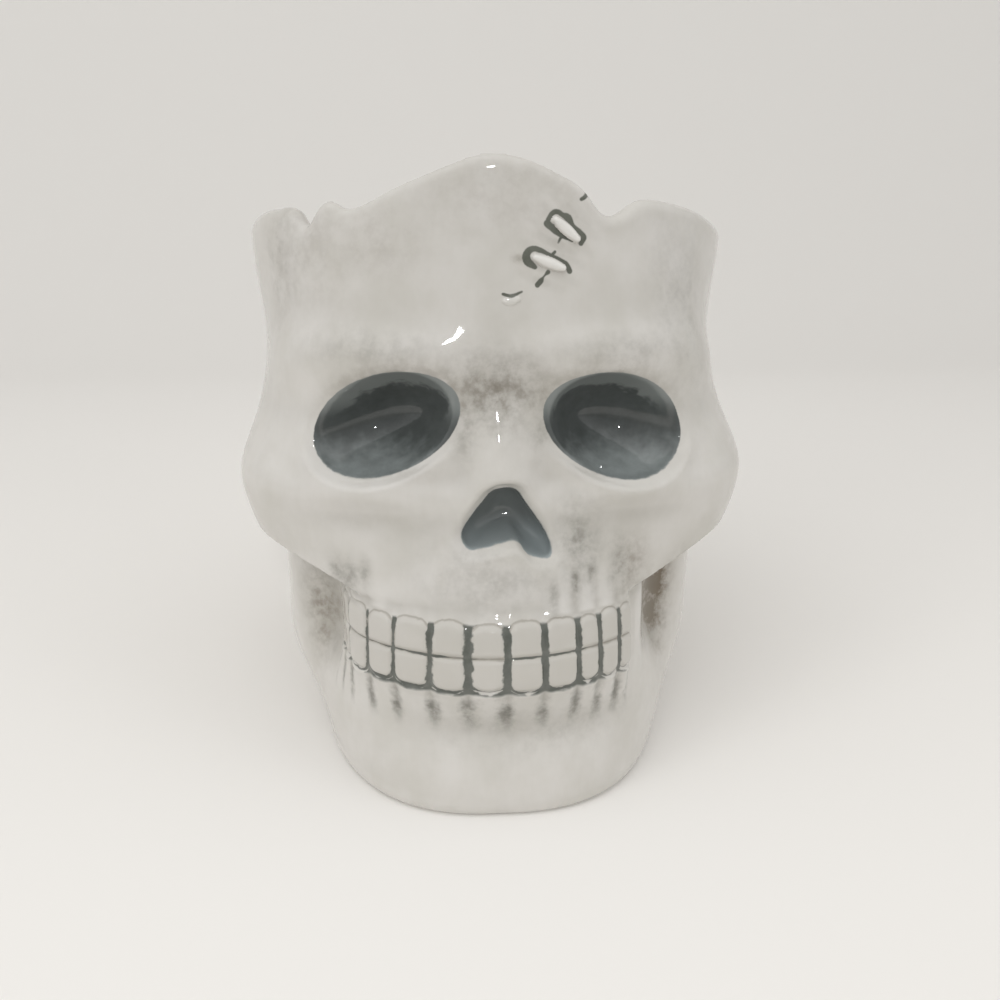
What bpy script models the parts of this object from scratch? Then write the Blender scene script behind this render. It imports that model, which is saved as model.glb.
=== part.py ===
"""Skull candle holder: one slip-cast vessel of glazed earthenware, open at a wavy rim.

The face looks along -Y. The upright axis runs through the middle of the vessel, and
the origin is in the middle of the underside.
"""

import math

import bpy
import numpy as np

MM = 0.001

# The shell.
HEIGHT = 145.0 * MM  # peak of the rim over the forehead
WALL = 4.5 * MM
FLOOR = 6.0 * MM
FOOT_ROUND = 3.0 * MM  # where the wall turns under the foot
FLOOR_ROUND = 9.0 * MM  # where the inner wall meets the floor

# The plain body at five levels: its height, half width, and reach in front and behind.
FOOT_SIDE = 45.5 * MM
FOOT_FRONT = 64.5 * MM
FOOT_BACK = 35.0 * MM
JAW_HEIGHT = 36.0 * MM
JAW_SIDE = 52.4 * MM
JAW_FRONT = 62.5 * MM
JAW_BACK = 47.0 * MM
CHEEK_HEIGHT = 76.0 * MM
CHEEK_SIDE = 54.0 * MM
CHEEK_FRONT = 55.0 * MM
CHEEK_BACK = 63.0 * MM
BROW_HEIGHT = 106.0 * MM
BROW_SIDE = 56.6 * MM
BROW_FRONT = 52.5 * MM
BROW_BACK = 67.0 * MM
RIM_SIDE = 56.8 * MM
RIM_FRONT = 47.5 * MM
RIM_BACK = 61.0 * MM
FOOT_SQUARE = 2.45  # 2 is an ellipse, more is squarer
JAW_SQUARE = 2.1
CHEEK_SQUARE = 2.45
BROW_SQUARE = 2.45
RIM_SQUARE = 2.3
BACK_SQUARE = 2.1

# How far the rim lies below its peak, by the angle in degrees from the front.
RIM_DROPS = (
    (-180, 21.0 * MM),
    (-140, 18.5 * MM),
    (-110, 21.5 * MM),
    (-88, 19.0 * MM),
    (-72, 14.0 * MM),
    (-58, 11.5 * MM),
    (-51.5, 11.5 * MM),
    (-47, 15.0 * MM),
    (-42.5, 9.7 * MM),
    (-37.5, 11.0 * MM),
    (-24, 6.3 * MM),
    (-12, 2.2 * MM),
    (-3, 0.0 * MM),
    (5, 0.6 * MM),
    (15, 3.9 * MM),
    (21.5, 7.3 * MM),
    (25.0, 11.4 * MM),
    (37, 9.3 * MM),
    (48.5, 10.8 * MM),
    (66, 15.5 * MM),
    (90, 20.0 * MM),
    (135, 18.5 * MM),
)

# The eye sockets: middle, half sizes, and their tilt with the outer end lower.
SOCKET_SIDE = 25.0 * MM
SOCKET_HEIGHT = 89.0 * MM
SOCKET_LONG = 17.0 * MM
SOCKET_SHORT = 10.9 * MM
SOCKET_DEPTH = 15.0 * MM
SOCKET_TILT = 18.0
SOCKET_TURN = 16.0
POCKET_SPREAD = 1.4  # how far the wall behind an opening spreads past its outline

# The nose opening, an upside-down heart.
NOSE_SIDE = 1.5 * MM
NOSE_HEIGHT = 69.5 * MM
NOSE_HALF_WIDTH = 10.0 * MM
NOSE_TALL = 15.5 * MM
NOSE_DEPTH = 9.0 * MM
NOSE_OUTLINE = (  # shares of the half width and of half the height
    (0.0, 1.0),
    (0.45, 0.45),
    (0.85, -0.3),
    (1.0, -0.95),
    (0.5, -0.95),
    (0.1, -0.5),
    (-0.5, -0.7),
    (-1.0, -0.45),
    (-0.75, 0.15),
    (-0.35, 0.7),
)

# Two raised stitches hold the scar that runs down from the rim, on the right.
STITCH_LONG = 8.6 * MM
STITCH_WIDE = 3.0 * MM
STITCH_RISE = 1.1 * MM
STITCHES = (  # distance from the middle line, height, and slope down to the right
    (14.0 * MM, 130.0 * MM, 41.0),
    (10.5 * MM, 123.3 * MM, 22.0),
)

# The teeth: two closed rows on one arc round the muzzle.
BITE_HEIGHT = 41.0 * MM
UPPER_TOOTH = 8.0 * MM
LOWER_TOOTH = 8.5 * MM
MIDDLE_GROOVE = 1.1 * MM  # the groove nearest the middle, right of it
LEFT_TEETH = (8.7 * MM, 8.6 * MM, 8.9 * MM, 7.5 * MM, 8.5 * MM, 6.0 * MM)
RIGHT_TEETH = (8.0 * MM, 8.0 * MM, 5.7 * MM, 5.7 * MM, 4.8 * MM)
TOOTH_RISE = 1.6 * MM
ROOT_RISE = 0.8 * MM
ROOT_TALL = 12.0 * MM
TOOTH_SQUARE = (4, 6)  # how flat a tooth's face is, across and upright
END_TEETH = 0.25  # the share of the last tooth over which the rows fade out

# The cheekbones end below in an edge that runs down from the side towards the teeth.
CHEEK_EDGE_HEIGHT = 60.5 * MM  # at the side
CHEEK_EDGE_DROP = 9.5 * MM  # lower beside the teeth
CHEEK_EDGE_SOFT = 4.0 * MM
CHEEK_EDGE_ANGLES = (28.0, 60.0)  # beside the teeth, at the side
CHEEK_STRETCH = 1.6  # how much further the bone reaches down than up

# Where the forms of the bone lie, from the level that each belongs to.
ARCH_BELOW_CHEEK = 3.0 * MM
EAR_BELOW_CHEEK = 17.0 * MM
BONE_BELOW_CHEEK = 2.0 * MM
MUZZLE_BELOW_BITE = 1.0 * MM
HOLLOW_BELOW_BITE = 3.0 * MM
UPPER_JAW_ABOVE_BITE = 18.0 * MM
RIDGE_BELOW_BROW = 1.0 * MM
CORNER_BELOW_BROW = 6.0 * MM
TEMPLE_ABOVE_BROW = 3.0 * MM
BACK_BELOW_BROW = 14.0 * MM
BRIDGE_BELOW_EYES = 5.0 * MM
LIP_BELOW_SOCKET = 4.0 * MM
CORNER_BELOW_JAW = 14.0 * MM
NECK_BELOW_JAW = 4.0 * MM
CHIN_HEIGHT = 9.0 * MM
CHIN_GROOVE_HEIGHT = 23.0 * MM

# Mesh density.
COLUMNS = 240
FACE_CROWDING = 0.5  # 0 spaces the columns evenly
WALL_ROWS = 110
INNER_ROWS = 36
ARC_ROWS = 6
FLOOR_ROWS = 8
OUTLINE_POINTS = 48
KEPT_TRIANGLES = 9600

GLAZE_COLOUR = (0.60, 0.58, 0.54, 1.0)
GLAZE_ROUGHNESS = 0.15

# Swellings and hollows of the bone, alike on both sides: angle from the front in
# degrees, height, half size in degrees, half size in height, and rise of the surface.
BONE_FORMS = {
    "cheek arch": (88, CHEEK_HEIGHT - ARCH_BELOW_CHEEK, 17, 7 * MM, 2.5 * MM),
    "muzzle": (0, BITE_HEIGHT - MUZZLE_BELOW_BITE, 24, 15 * MM, 3.2 * MM),
    "upper jaw": (0, BITE_HEIGHT + UPPER_JAW_ABOVE_BITE, 22, 9 * MM, 1.5 * MM),
    "brow ridge": (26, BROW_HEIGHT - RIDGE_BELOW_BROW, 20, 6 * MM, 2.5 * MM),
    "brow corner": (50, BROW_HEIGHT - CORNER_BELOW_BROW, 12, 8 * MM, 2.5 * MM),
    "nose bridge": (0, SOCKET_HEIGHT - BRIDGE_BELOW_EYES, 8, 11 * MM, 2.8 * MM),
    "socket lip": (28, SOCKET_HEIGHT - SOCKET_SHORT - LIP_BELOW_SOCKET, 17, 4 * MM, 2.2 * MM),
    "temple": (66, BROW_HEIGHT + TEMPLE_ABOVE_BROW, 14, 13 * MM, -2.0 * MM),
    "chin": (14, CHIN_HEIGHT, 20, 9 * MM, 1.0 * MM),
    "chin groove": (0, CHIN_GROOVE_HEIGHT, 26, 6 * MM, -1.5 * MM),
    "ear bone": (106, CHEEK_HEIGHT - EAR_BELOW_CHEEK, 9, 11 * MM, 2.5 * MM),
    "jaw corner": (82, JAW_HEIGHT - CORNER_BELOW_JAW, 18, 13 * MM, 3.0 * MM),
    "neck hollow": (122, JAW_HEIGHT - NECK_BELOW_JAW, 17, 20 * MM, -3.5 * MM),
    "back of the head": (180, BROW_HEIGHT - BACK_BELOW_BROW, 48, 24 * MM, 2.0 * MM),
}
CHEEKBONE = (56, CHEEK_HEIGHT - BONE_BELOW_CHEEK, 19, 15 * MM, 11.0 * MM)
JAW_HOLLOW = (48, BITE_HEIGHT - HOLLOW_BELOW_BITE, 11, 13 * MM, -8.0 * MM)


def along(places, stations):
    """A smooth curve through stations of place and value, read at the given places."""
    known = np.array(sorted(stations), dtype=float)
    slopes = np.gradient(known[:, 1], known[:, 0])
    left = np.clip(np.searchsorted(known[:, 0], places) - 1, 0, len(known) - 2)
    span = known[left + 1, 0] - known[left, 0]
    t = (places - known[left, 0]) / span
    rise = (2 * t**3 - 3 * t**2 + 1) * known[left, 1] + (3 * t**2 - 2 * t**3) * known[left + 1, 1]
    lean = (t**3 - 2 * t**2 + t) * slopes[left] + (t**3 - t**2) * slopes[left + 1]
    return rise + span * lean


def fade(distance):
    """Falls smoothly from 1 at no distance to near nothing at twice the half size."""
    return np.exp(-(distance**2))


def ease(share):
    """Rises smoothly from 0 to 1."""
    share = np.clip(share, 0, 1)
    return share * share * (3 - 2 * share)


def rim_height(angles):
    """Height of the rim at each angle from the front."""
    stations = [(turn + step, drop) for turn in (-360, 0, 360) for step, drop in RIM_DROPS]
    return HEIGHT - along(np.degrees(angles), stations)


def body_radius(angles, heights):
    """Distance from the axis to the plain body's surface."""
    levels = (0.0, JAW_HEIGHT, CHEEK_HEIGHT, BROW_HEIGHT, HEIGHT)
    sides = (FOOT_SIDE, JAW_SIDE, CHEEK_SIDE, BROW_SIDE, RIM_SIDE)
    fronts = (FOOT_FRONT, JAW_FRONT, CHEEK_FRONT, BROW_FRONT, RIM_FRONT)
    backs = (FOOT_BACK, JAW_BACK, CHEEK_BACK, BROW_BACK, RIM_BACK)
    squares = (FOOT_SQUARE, JAW_SQUARE, CHEEK_SQUARE, BROW_SQUARE, RIM_SQUARE)
    side = along(heights, zip(levels, sides))
    facing = np.cos(angles) > 0
    reach = np.where(facing, along(heights, zip(levels, fronts)), along(heights, zip(levels, backs)))
    square = np.where(facing, along(heights, zip(levels, squares)), BACK_SQUARE)
    across = (np.abs(np.sin(angles)) / side) ** square
    ahead = (np.abs(np.cos(angles)) / reach) ** square
    return (across + ahead) ** (-1 / square)


def bone_radius(angles, heights):
    """The body's surface with the swellings and hollows of the bone."""
    radius = body_radius(angles, heights)
    for angle, height, wide, tall, rise in BONE_FORMS.values():
        apart = (np.degrees(np.abs(angles)) - angle) / wide
        radius = radius + rise * fade(np.hypot(apart, (heights - height) / tall))
    return radius + cheek_rise(angles, heights)


def cheek_rise(angles, heights):
    """The cheekbones down to their lower edge, and the hollows of the jaw below it."""
    turned = np.degrees(np.abs(angles))
    near, far = CHEEK_EDGE_ANGLES
    edge = CHEEK_EDGE_HEIGHT - CHEEK_EDGE_DROP * (1 - ease((turned - near) / (far - near)))
    above = ease((heights - edge) / CHEEK_EDGE_SOFT + 0.5)
    angle, height, wide, tall, rise = CHEEKBONE
    stretch = np.where(heights < height, CHEEK_STRETCH, 1.0) * tall
    bone = rise * fade(np.hypot((turned - angle) / wide, (heights - height) / stretch)) * above
    angle, height, wide, tall, rise = JAW_HOLLOW
    below = np.where(heights < height, (heights - height) / tall, 0)
    return bone + rise * fade(np.hypot((turned - angle) / wide, below)) * (1 - above)


def tooth_place(angles):
    """Counts teeth round the muzzle from its middle: whole numbers are the grooves."""
    steps = np.radians(np.arange(-90, 91))
    reach = bone_radius(steps, np.full(len(steps), BITE_HEIGHT))
    points = np.stack((reach * np.sin(steps), -reach * np.cos(steps)), axis=1)
    walked = np.concatenate(([0], np.cumsum(np.linalg.norm(np.diff(points, axis=0), axis=1))))
    walked -= walked[len(steps) // 2]
    left = MIDDLE_GROOVE - np.cumsum(LEFT_TEETH)[::-1]
    edges = np.concatenate((left, [MIDDLE_GROOVE], MIDDLE_GROOVE + np.cumsum(RIGHT_TEETH)))
    counts = np.arange(len(edges)) - len(LEFT_TEETH)
    return np.interp(np.interp(angles, steps, walked), edges, counts)


def teeth_rise(angles, heights):
    """Both rows of teeth, and the roots that run from them into the jaws."""
    place = tooth_place(angles)
    across = np.abs(2 * (place - np.floor(place)) - 1)
    inside = np.minimum(place + len(LEFT_TEETH), len(RIGHT_TEETH) - place)
    ends = ease(inside / END_TEETH)
    above = heights - BITE_HEIGHT
    tall = np.where(above > 0, UPPER_TOOTH, LOWER_TOOTH)
    share = np.abs(above) / tall
    wide, upright = TOOTH_SQUARE
    pillow = np.clip(1 - across**wide, 0, 1) * np.clip(1 - np.abs(2 * share - 1) ** upright, 0, 1)
    beyond = np.clip((np.abs(above) - tall) / ROOT_TALL, 0, 1)
    root = ROOT_RISE * (1 - across**2) * np.where(share > 1, (1 - beyond) ** 2, 0)
    return ends * np.where(share < 1, TOOTH_RISE * pillow, root)


def stitch_rise(angles, heights):
    """The raised stitches, round beads that lie across the scar."""
    across = body_radius(angles, heights) * np.sin(angles)
    straight = (STITCH_LONG - STITCH_WIDE) / 2
    swell = np.zeros(np.shape(across))
    for side, height, slope in STITCHES:
        turn = math.radians(slope)
        forward = (across - side) * math.cos(turn) - (heights - height) * math.sin(turn)
        beside = (across - side) * math.sin(turn) + (heights - height) * math.cos(turn)
        apart = np.hypot(forward - np.clip(forward, -straight, straight), beside)
        swell = np.maximum(swell, 1 - (2 * apart / STITCH_WIDE) ** 2)
    return STITCH_RISE * np.sqrt(np.where(np.cos(angles) > 0, swell, 0))


def outer_radius(angles, heights):
    return bone_radius(angles, heights) + teeth_rise(angles, heights) + stitch_rise(angles, heights)


def pocket_room(angles, heights):
    """How far the inner wall stands back, to stay clear of the sockets and the nose."""
    radius = bone_radius(angles, heights)
    across = radius * np.sin(angles)
    from_socket = (heights - SOCKET_HEIGHT) / SOCKET_SHORT
    socket = np.hypot((np.abs(across) - SOCKET_SIDE) / SOCKET_LONG, from_socket)
    nose = np.hypot((across - NOSE_SIDE) / NOSE_HALF_WIDTH, 2 * (heights - NOSE_HEIGHT) / NOSE_TALL)
    room = SOCKET_DEPTH * fade((socket / POCKET_SPREAD) ** 2)
    room = np.maximum(room, NOSE_DEPTH * fade((nose / POCKET_SPREAD) ** 2))
    return np.where(np.cos(angles) > 0, room, 0)


def inner_radius(angles, heights):
    """The inner wall, a full wall away from the bone outside it in every direction."""
    near = bone_radius(angles, heights)
    inner = near - WALL
    for share in (0.6, 0.9, 1.0):
        inward = WALL * math.sqrt(1 - share * share)
        for turn in np.arange(0, 2 * math.pi, math.pi / 4):
            beside = WALL * share * math.cos(turn) / near
            above = WALL * share * math.sin(turn)
            inner = np.minimum(inner, bone_radius(angles + beside, heights + above) - inward)
    return inner - pocket_room(angles, heights)


def column_angles():
    """Angles all round, closest together on the face."""
    even = np.linspace(-math.pi, math.pi, COLUMNS, endpoint=False)
    return even - FACE_CROWDING * np.sin(even)


def shell_rings():
    """Rings of points from the middle of the underside, up, over the rim and down inside."""
    angles = column_angles()
    flat = np.ones(COLUMNS)
    arc = np.linspace(0, math.pi / 2, ARC_ROWS + 1)
    shares = np.arange(1, FLOOR_ROWS + 1) / FLOOR_ROWS
    foot = outer_radius(angles, FOOT_ROUND * flat)
    rings = [((foot - FOOT_ROUND) * share, 0 * flat) for share in shares]
    for turn in arc[1:]:
        height = FOOT_ROUND * (1 - math.cos(turn)) * flat
        rings.append((foot - FOOT_ROUND * (1 - math.sin(turn)), height))
    lip = rim_height(angles) - WALL / 2
    for share in np.arange(1, WALL_ROWS + 1) / WALL_ROWS:
        height = FOOT_ROUND + share * (lip - FOOT_ROUND)
        rings.append((outer_radius(angles, height), height))
    crest = outer_radius(angles, lip)
    for turn in np.linspace(0, math.pi, 2 * ARC_ROWS + 1)[1:]:
        rings.append((crest - WALL / 2 * (1 - math.cos(turn)), lip + WALL / 2 * math.sin(turn)))
    bottom = FLOOR + FLOOR_ROUND
    for share in np.arange(1, INNER_ROWS + 1) / INNER_ROWS:
        height = lip + share * (bottom - lip)
        rings.append((inner_radius(angles, height), height))
    corner = inner_radius(angles, bottom * flat)
    for turn in arc[1:]:
        height = bottom - FLOOR_ROUND * math.sin(turn)
        rings.append((corner - FLOOR_ROUND * (1 - math.cos(turn)), height * flat))
    for share in shares[::-1][1:]:
        rings.append(((corner - FLOOR_ROUND) * share, FLOOR * flat))
    return angles, rings


def mesh_object(name, points, faces, holder):
    mesh = bpy.data.meshes.new(name)
    mesh.from_pydata(points, [], faces)
    mesh.shade_smooth()
    made = bpy.data.objects.new(name, mesh)
    made.parent = holder
    bpy.context.scene.collection.objects.link(made)
    return made


def make_holder(points):
    """An empty that carries every piece, and brings the middle of the shell's box over the origin."""
    holder = bpy.data.objects.new("middle", None)
    across, ahead = np.array(points)[:, :2].T
    holder.location = (-(across.min() + across.max()) / 2, -(ahead.min() + ahead.max()) / 2, 0)
    bpy.context.scene.collection.objects.link(holder)
    return holder


def ring_faces(rings, columns):
    """Quads between following rings, and a fan at each end onto the two last points."""
    faces = []
    for row in range(rings - 1):
        for column in range(columns):
            beside = (column + 1) % columns
            low = row * columns
            high = low + columns
            faces.append((low + column, low + beside, high + beside, high + column))
    start = rings * columns
    last = (rings - 1) * columns
    for column in range(columns):
        beside = (column + 1) % columns
        faces.append((start, beside, column))
        faces.append((start + 1, last + column, last + beside))
    return faces


def make_shell():
    angles, rings = shell_rings()
    points = []
    for radius, height in rings:
        points.extend(zip(radius * np.sin(angles), -radius * np.cos(angles), height))
    points += [(0, 0, 0), (0, 0, FLOOR)]
    return mesh_object("skull_shell", points, ring_faces(len(rings), COLUMNS), make_holder(points))


def make_cutter(name, outline, depth, place, turn, holder):
    """A bowl-shaped cutter: its outline in X and Z runs in along +Y and closes in."""
    reach = depth + WALL  # out past the face
    shares = np.linspace(0, math.pi / 2, ARC_ROWS + 3)[:-1]
    sections = [(-reach, 1.0)] + [(depth * math.sin(turned), math.cos(turned)) for turned in shares]
    across = np.array(outline)
    points = []
    for inward, scale in sections:
        points.extend((x * scale, inward, z * scale) for x, z in across)
    points += [(0, -reach, 0), (0, depth, 0)]
    cutter = mesh_object(name, points, ring_faces(len(sections), len(outline)), holder)
    cutter.location = place
    cutter.rotation_euler = (0, 0, turn)
    cutter.hide_render = True
    cutter.display_type = "WIRE"
    return cutter


def socket_outline(side):
    """An egg, tilted so that its outer end is lower; side is -1 or 1."""
    tilt = math.radians(-SOCKET_TILT) * side
    points = []
    for turn in np.linspace(0, 2 * math.pi, OUTLINE_POINTS, endpoint=False):
        x = SOCKET_LONG * math.cos(turn)
        z = SOCKET_SHORT * math.sin(turn)
        points.append((x * math.cos(tilt) - z * math.sin(tilt), x * math.sin(tilt) + z * math.cos(tilt)))
    return points[::-1]


def nose_outline():
    """An upside-down heart, with its point up and a notch in its lower edge."""
    count = len(NOSE_OUTLINE)
    steps = np.linspace(0, count, OUTLINE_POINTS, endpoint=False)
    laps = range(-count, 2 * count)
    across = along(steps, zip(laps, [x * NOSE_HALF_WIDTH for x, z in NOSE_OUTLINE] * 3))
    upright = along(steps, zip(laps, [z * NOSE_TALL / 2 for x, z in NOSE_OUTLINE] * 3))
    return list(zip(across, upright))


def cut(target, cutter):
    modifier = target.modifiers.new(cutter.name, "BOOLEAN")
    modifier.operation = "DIFFERENCE"
    modifier.object = cutter
    modifier.solver = "EXACT"


def surface_point(across, height):
    """The point of the face at this distance from its middle line."""
    steps = np.radians(np.arange(-80, 81))
    reach = bone_radius(steps, np.full(len(steps), height))
    angle = np.interp(across, reach * np.sin(steps), steps)
    radius = bone_radius(np.array([angle]), np.array([height]))[0]
    return radius * math.sin(angle), -radius * math.cos(angle), height


def glaze_material():
    material = bpy.data.materials.new("glazed_earthenware")
    material.use_nodes = True
    shader = material.node_tree.nodes["Principled BSDF"]
    shader.inputs["Base Color"].default_value = GLAZE_COLOUR
    shader.inputs["Roughness"].default_value = GLAZE_ROUGHNESS
    shader.inputs["Metallic"].default_value = 0.0
    return material


def make_skull():
    shell = make_shell()
    for name, side in (("left_socket_cutter", -1), ("right_socket_cutter", 1)):
        place = surface_point(side * SOCKET_SIDE, SOCKET_HEIGHT)
        turn = math.radians(SOCKET_TURN) * side
        cutter = make_cutter(name, socket_outline(side), SOCKET_DEPTH, place, turn, shell.parent)
        cut(shell, cutter)
    place = surface_point(NOSE_SIDE, NOSE_HEIGHT)
    cutter = make_cutter("nose_cutter", nose_outline(), NOSE_DEPTH, place, 0.0, shell.parent)
    cut(shell, cutter)
    fewer = shell.modifiers.new("fewer_faces", "DECIMATE")
    fewer.ratio = KEPT_TRIANGLES / (2 * len(shell.data.polygons))
    shell.data.materials.append(glaze_material())
    return shell


for item in list(bpy.data.objects):
    bpy.data.objects.remove(item)
make_skull()
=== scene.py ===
"""Looks of the skull candle holder: one slip-cast earthenware vessel under a thick glossy glaze.

The form is worked out about an upright axis through the middle of the vessel, with the
face towards -Y, and is then set into the frame. Lengths are in metres.
"""

import math

import bmesh
import bpy
import numpy as np
from mathutils import Euler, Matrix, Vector


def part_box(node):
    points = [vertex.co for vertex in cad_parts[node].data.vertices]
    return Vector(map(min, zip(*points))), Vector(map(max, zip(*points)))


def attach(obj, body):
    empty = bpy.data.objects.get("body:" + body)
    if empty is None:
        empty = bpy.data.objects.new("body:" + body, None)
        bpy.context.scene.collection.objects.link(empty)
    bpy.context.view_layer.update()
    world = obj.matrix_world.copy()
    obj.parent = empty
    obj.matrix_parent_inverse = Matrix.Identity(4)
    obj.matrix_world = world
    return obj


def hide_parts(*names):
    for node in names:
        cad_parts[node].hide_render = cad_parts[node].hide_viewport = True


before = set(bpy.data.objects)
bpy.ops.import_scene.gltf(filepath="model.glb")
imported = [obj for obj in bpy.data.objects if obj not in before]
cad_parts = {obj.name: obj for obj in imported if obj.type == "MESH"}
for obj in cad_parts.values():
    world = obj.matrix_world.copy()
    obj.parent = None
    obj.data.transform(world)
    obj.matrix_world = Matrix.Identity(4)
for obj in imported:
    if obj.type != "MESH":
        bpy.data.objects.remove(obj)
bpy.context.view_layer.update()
SHELL_LOW, SHELL_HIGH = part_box("skull_shell")

MM = 0.001

# The shell.
HEIGHT = SHELL_HIGH.z  # peak of the rim over the forehead
WALL = 4.5 * MM
FLOOR = 6.0 * MM
FOOT_ROUND = 3.0 * MM  # where the wall turns under the foot
FLOOR_ROUND = 9.0 * MM  # where the inner wall meets the floor

# The plain body at five levels: height, half width, reach in front, reach behind and
# how square the front is, where 2 is an ellipse.
BODY_LEVELS = (
    (0.0, 43.2 * MM, 64.5 * MM, 35.0 * MM, 2.45),
    (36.0 * MM, 52.4 * MM, 62.5 * MM, 47.0 * MM, 2.1),
    (76.0 * MM, 54.0 * MM, 55.0 * MM, 63.0 * MM, 2.45),
    (106.0 * MM, 56.6 * MM, 52.5 * MM, 67.0 * MM, 2.45),
    (145.0 * MM, 56.8 * MM, 47.5 * MM, 61.0 * MM, 2.3),
)
BACK_SQUARE = 2.1
JAW_HEIGHT = BODY_LEVELS[1][0]
CHEEK_HEIGHT = BODY_LEVELS[2][0]
BROW_HEIGHT = BODY_LEVELS[3][0]

# How far the rim lies below its peak, by the angle in degrees from the front.
RIM_DROPS = (
    (-180, 21.0 * MM),
    (-140, 18.5 * MM),
    (-110, 21.5 * MM),
    (-88, 19.0 * MM),
    (-72, 14.0 * MM),
    (-58, 11.5 * MM),
    (-51.5, 11.5 * MM),
    (-47, 15.0 * MM),
    (-42.5, 9.7 * MM),
    (-37.5, 11.0 * MM),
    (-24, 6.3 * MM),
    (-12, 2.2 * MM),
    (-3, 0.0 * MM),
    (5, 0.6 * MM),
    (15, 3.9 * MM),
    (21.5, 7.3 * MM),
    (25.0, 11.4 * MM),
    (37, 9.3 * MM),
    (48.5, 10.8 * MM),
    (66, 15.5 * MM),
    (90, 20.0 * MM),
    (135, 18.5 * MM),
)

# The eye sockets: middle, half sizes, how much fuller the outer end is, and the tilt in
# degrees that sets the outer end lower. The side is negative on the left.
SOCKETS = {
    "left_socket": (-24.6 * MM, 89.8 * MM, 16.9 * MM, 10.5 * MM, -0.02, -21.0),
    "right_socket": (25.4 * MM, 89.0 * MM, 16.6 * MM, 11.1 * MM, 0.08, 17.5),
}
SOCKET_HEIGHT = 89.0 * MM
SOCKET_SHORT = 10.9 * MM
SOCKET_DEPTH = 11.0 * MM
SOCKET_TURN = 16.0
SOCKET_BOWL = 1.0  # how steep the bowl is at its rim, where 0.5 is round and 1 is a dish
RIM_SHARE = 0.95  # nearer to its rim than this a bowl counts as no shallower
TURN_STEP = math.radians(2)  # over which an outline's lean is measured
STEEPEST = 1.5  # how far an outline may lean before the distance out of it is rounded off
POCKET_SPREAD = 1.45  # how far the wall behind an opening spreads past its outline

# The nose opening, an upside-down heart: shares of its half width and half its height.
NOSE_SIDE = 1.5 * MM
NOSE_HEIGHT = 69.5 * MM
NOSE_HALF_WIDTH = 9.8 * MM
NOSE_TALL = 15.0 * MM
NOSE_DEPTH = 9.0 * MM
NOSE_BOWL = 0.4
NOSE_OUTLINE = (
    (-0.09, 0.97),
    (0.19, 0.88),
    (0.41, 0.47),
    (0.78, -0.27),
    (0.94, -0.74),
    (0.92, -1.07),
    (0.66, -1.04),
    (0.40, -0.91),
    (0.19, -0.57),
    (-0.15, -0.61),
    (-0.54, -0.73),
    (-0.84, -0.78),
    (-1.00, -0.54),
    (-0.98, -0.28),
    (-0.80, 0.09),
    (-0.56, 0.52),
    (-0.34, 0.85),
)

# The rim of each opening stands up a little from the bone round it.
LIP_RISES = (2.3 * MM, 2.3 * MM, 0.7 * MM)  # left socket, right socket and nose
LIP_REACH = 4.2 * MM
LIP_ABOVE = 0.15  # the share of the rise above a socket

# The teeth: two closed rows on one arc round the muzzle.
BITE_HEIGHT = 41.0 * MM
UPPER_TOOTH = 8.0 * MM
LOWER_TOOTH = 8.5 * MM
MIDDLE_GROOVE = 1.1 * MM  # the groove nearest the middle, right of it
LEFT_TEETH = (8.7 * MM, 8.6 * MM, 8.9 * MM, 7.5 * MM, 8.5 * MM, 6.0 * MM, 5.5 * MM)
RIGHT_TEETH = (8.0 * MM, 8.0 * MM, 5.7 * MM, 5.7 * MM, 4.8 * MM)
TOOTH_RISE = 1.5 * MM
TOOTH_EDGE = 1.2 * MM  # over which a tooth's face rounds off
BED_SHARE = 0.55  # the share of the rise that the grooves keep, for they are shallow
BED_SOFT = 5.0 * MM
GUM_CORNER = 2.7 * MM  # corner radii of a tooth's outline, at the gum and at the bite
BITE_CORNER = 1.0 * MM
UNEVEN_TEETH = 0.3 * MM
UNEVEN_STEP = 2.3  # from tooth to tooth, along a sine that makes them uneven
ROOT_TALL = 12.0 * MM
LOWER_ROOT = 1.3 * MM
UPPER_ROOT = 0.1 * MM
SIDE_ROOT = 0.85 * MM  # the upper roots beside the front teeth
FRONT_TEETH = (-3.0, 0.5)  # places between which the upper roots hardly show
END_TEETH = 0.25  # the share of the last tooth over which the rows fade out

# The cheekbones end below in an edge that runs down from the side towards the teeth.
CHEEK_EDGE_HEIGHT = 60.5 * MM  # at the side
CHEEK_EDGE_DROP = 9.5 * MM  # lower beside the teeth
CHEEK_EDGE_SOFT = 2.2 * MM
CHEEK_EDGE_ANGLES = (28.0, 60.0)  # beside the teeth, at the side
CHEEK_STRETCH = 1.6  # how much further the bone reaches down than up

# Raised stitches hold the scar that runs down from the rim, on the right: distance from
# the middle line, height, slope down to the right, length, width and rise.
STITCHES = (
    (14.0 * MM, 130.0 * MM, 41.0, 8.4 * MM, 2.5 * MM, 1.3 * MM),
    (10.4 * MM, 123.4 * MM, 21.0, 8.6 * MM, 2.5 * MM, 1.3 * MM),
    (2.6 * MM, 115.9 * MM, -8.0, 4.5 * MM, 2.0 * MM, 0.4 * MM),
)
STITCH_TAPER = 0.35  # how much narrower a stitch is at its ends

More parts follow.
